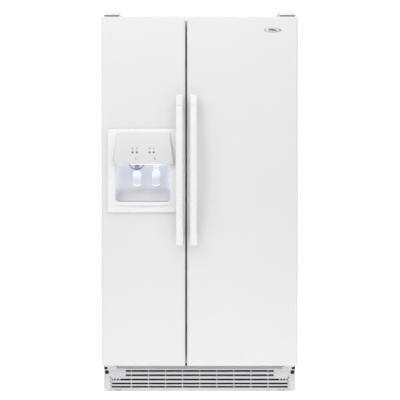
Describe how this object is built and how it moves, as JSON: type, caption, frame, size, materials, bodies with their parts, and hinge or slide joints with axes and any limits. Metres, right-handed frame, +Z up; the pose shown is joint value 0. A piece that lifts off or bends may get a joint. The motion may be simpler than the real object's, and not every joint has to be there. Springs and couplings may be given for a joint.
{
  "type": "side by side refrigerator",
  "caption": "Two door side by side refrigerator with bowed handles, an ice and water dispenser in the freezer door, and shelves, drawers and door bins inside.",
  "frame": {"origin": "on the floor, under the middle of the whole refrigerator's box", "axes": "+Z up along the height, -Y towards the front, +X to the right seen from the front"},
  "size_m": [0.902, 0.84, 1.765],
  "materials": {
    "white_paint": "gloss white enamel, fine orange peel",
    "white_plastic": "moulded white plastic, satin gloss",
    "grey_plastic": "moulded grey plastic",
    "pale_plastic": "moulded pale grey plastic",
    "dark_plastic": "moulded dark plastic",
    "grille_plastic": "moulded white plastic",
    "foam": "rigid polyurethane foam",
    "steel": "zinc plated steel",
    "black_metal": "black enamel",
    "aluminium": "bare fins and tube",
    "copper_steel": "black painted tube and fins",
    "glass": "tempered glass",
    "clear_plastic": "clear moulded plastic",
    "gasket_rubber": "soft white vinyl",
    "chrome": "bright plate",
    "wire": "white coated wire"
  },
  "bodies": {
    "cabinet": {"back_panel": "steel", "base_frame": "black_metal", "base_grille": "grille_plastic", "bottom_hinges": "white_paint", "cabinet_wrapper": "white_paint", "centre_rail": "white_paint", "compressor": "black_metal", "condenser_coil": "copper_steel", "control_housing": "pale_plastic", "evaporator": "aluminium", "evaporator_cover": "white_plastic", "freezer_liner": "white_plastic", "freezer_shelves": "wire", "fridge_liner": "white_plastic", "hinge_covers": "white_plastic", "ice_maker": "grey_plastic", "insulation": "foam", "light_lenses": "clear_plastic", "machine_cover": "steel", "screws": "steel", "shelf_frames": "white_plastic", "shelf_panes": "glass", "top_hinges": "steel", "water_valve": "grey_plastic"},
    "freezer_door": {"freezer_door_skin": "white_paint", "freezer_door_liner": "white_plastic", "freezer_gasket": "gasket_rubber", "freezer_handle": "white_plastic", "freezer_door_bins": "clear_plastic", "dispenser_housing": "white_plastic", "control_panel": "white_plastic", "ice_chute": "grey_plastic", "drip_tray": "pale_plastic"},
    "fridge_door": {"fridge_door_skin": "white_paint", "fridge_door_liner": "white_plastic", "fridge_gasket": "gasket_rubber", "fridge_handle": "white_plastic", "fridge_door_bins": "clear_plastic", "badge": "chrome"},
    "condenser_fan": {"condenser_fan": "dark_plastic"},
    "evaporator_fan": {"evaporator_fan": "dark_plastic"},
    "front_rollers": {"front_rollers": "grey_plastic"},
    "rear_rollers": {"rear_rollers": "grey_plastic"},
    "levelling_legs": {"levelling_legs": "steel"},
    "upper_crisper": {"upper_crisper": "clear_plastic"},
    "lower_crisper": {"lower_crisper": "clear_plastic"},
    "freezer_basket": {"freezer_basket": "white_plastic"},
    "ice_bin": {"ice_bin": "clear_plastic"},
    "freezer_knob": {"freezer_knob": "white_plastic"},
    "fridge_knob": {"fridge_knob": "white_plastic"},
    "freezer_light_switch": {"freezer_light_switch": "grey_plastic"},
    "fridge_light_switch": {"fridge_light_switch": "grey_plastic"},
    "chute_flap": {"chute_flap": "grey_plastic"},
    "ice_paddle": {"ice_paddle": "pale_plastic"},
    "water_paddle": {"water_paddle": "pale_plastic"},
    "cube_button": {"cube_button": "grey_plastic"},
    "crush_button": {"crush_button": "grey_plastic"},
    "lamp_button": {"lamp_button": "grey_plastic"},
    "lock_button": {"lock_button": "grey_plastic"},
    "dairy_lid": {"dairy_lid": "clear_plastic"}
  },
  "joints": [
    {"name": "freezer_door_hinge", "type": "hinge", "parent": "cabinet", "child": "freezer_door", "pos_m": [-0.426, -0.325, 0.9], "axis": [0, 0, -1], "range_deg": [0, 130]},
    {"name": "fridge_door_hinge", "type": "hinge", "parent": "cabinet", "child": "fridge_door", "pos_m": [0.426, -0.325, 0.9], "axis": [0, 0, 1], "range_deg": [0, 130]},
    {"name": "condenser_fan_spin", "type": "hinge", "parent": "cabinet", "child": "condenser_fan", "pos_m": [-0.03, 0.25, 0.15], "axis": [0, 1, 0], "continuous": true},
    {"name": "evaporator_fan_spin", "type": "hinge", "parent": "cabinet", "child": "evaporator_fan", "pos_m": [-0.248, 0.322, 0.83], "axis": [0, 1, 0], "continuous": true},
    {"name": "front_roller_spin", "type": "hinge", "parent": "cabinet", "child": "front_rollers", "pos_m": [0, -0.235, 0.02], "axis": [1, 0, 0], "continuous": true},
    {"name": "rear_roller_spin", "type": "hinge", "parent": "cabinet", "child": "rear_rollers", "pos_m": [0, 0.378, 0.02], "axis": [1, 0, 0], "continuous": true},
    {"name": "leg_screw", "type": "slide", "parent": "cabinet", "child": "levelling_legs", "axis": [0, 0, 1], "range_m": [-0.01, 0]},
    {"name": "upper_crisper_slide", "type": "slide", "parent": "cabinet", "child": "upper_crisper", "axis": [0, -1, 0], "range_m": [0, 0.072]},
    {"name": "lower_crisper_slide", "type": "slide", "parent": "cabinet", "child": "lower_crisper", "axis": [0, -1, 0], "range_m": [0, 0.072]},
    {"name": "freezer_basket_slide", "type": "slide", "parent": "cabinet", "child": "freezer_basket", "axis": [0, -1, 0], "range_m": [0, 0.07]},
    {"name": "ice_bin_slide", "type": "slide", "parent": "cabinet", "child": "ice_bin", "axis": [0, -1, 0], "range_m": [0, 0.07]},
    {"name": "freezer_knob_turn", "type": "hinge", "parent": "cabinet", "child": "freezer_knob", "pos_m": [0.09, -0.11, 1.646], "axis": [0, 1, 0], "range_deg": [-135, 135]},
    {"name": "fridge_knob_turn", "type": "hinge", "parent": "cabinet", "child": "fridge_knob", "pos_m": [0.282, -0.11, 1.646], "axis": [0, 1, 0], "range_deg": [-135, 135]},
    {"name": "freezer_switch_press", "type": "slide", "parent": "cabinet", "child": "freezer_light_switch", "axis": [0, 1, 0], "range_m": [0, 0.004], "stiffness_N_per_m": 400},
    {"name": "fridge_switch_press", "type": "slide", "parent": "cabinet", "child": "fridge_light_switch", "axis": [0, 1, 0], "range_m": [0, 0.004], "stiffness_N_per_m": 400},
    {"name": "ice_paddle_press", "type": "hinge", "parent": "freezer_door", "child": "ice_paddle", "pos_m": [-0.29, -0.322, 1.071], "axis": [1, 0, 0], "range_deg": [0, 7], "stiffness_Nm_per_rad": 0.5},
    {"name": "water_paddle_press", "type": "hinge", "parent": "freezer_door", "child": "water_paddle", "pos_m": [-0.201, -0.322, 1.071], "axis": [1, 0, 0], "range_deg": [0, 7], "stiffness_Nm_per_rad": 0.5},
    {"name": "chute_flap_turn", "type": "hinge", "parent": "freezer_door", "child": "chute_flap", "pos_m": [-0.29, -0.335, 1.096], "axis": [1, 0, 0], "range_deg": [0, 45]},
    {"name": "cube_button_press", "type": "slide", "parent": "freezer_door", "child": "cube_button", "axis": [0, 1, 0], "range_m": [0, 0.0015], "stiffness_N_per_m": 600},
    {"name": "crush_button_press", "type": "slide", "parent": "freezer_door", "child": "crush_button", "axis": [0, 1, 0], "range_m": [0, 0.0015], "stiffness_N_per_m": 600},
    {"name": "lamp_button_press", "type": "slide", "parent": "freezer_door", "child": "lamp_button", "axis": [0, 1, 0], "range_m": [0, 0.0015], "stiffness_N_per_m": 600},
    {"name": "lock_button_press", "type": "slide", "parent": "freezer_door", "child": "lock_button", "axis": [0, 1, 0], "range_m": [0, 0.0015], "stiffness_N_per_m": 600},
    {"name": "dairy_lid_lift", "type": "hinge", "parent": "fridge_door", "child": "dairy_lid", "pos_m": [0.1895, -0.226, 1.602], "axis": [1, 0, 0], "range_deg": [0, 75]}
  ],
  "couplings": [
    {"joint": "chute_flap_turn", "follows": "ice_paddle_press", "ratio": 6.4}
  ]
}
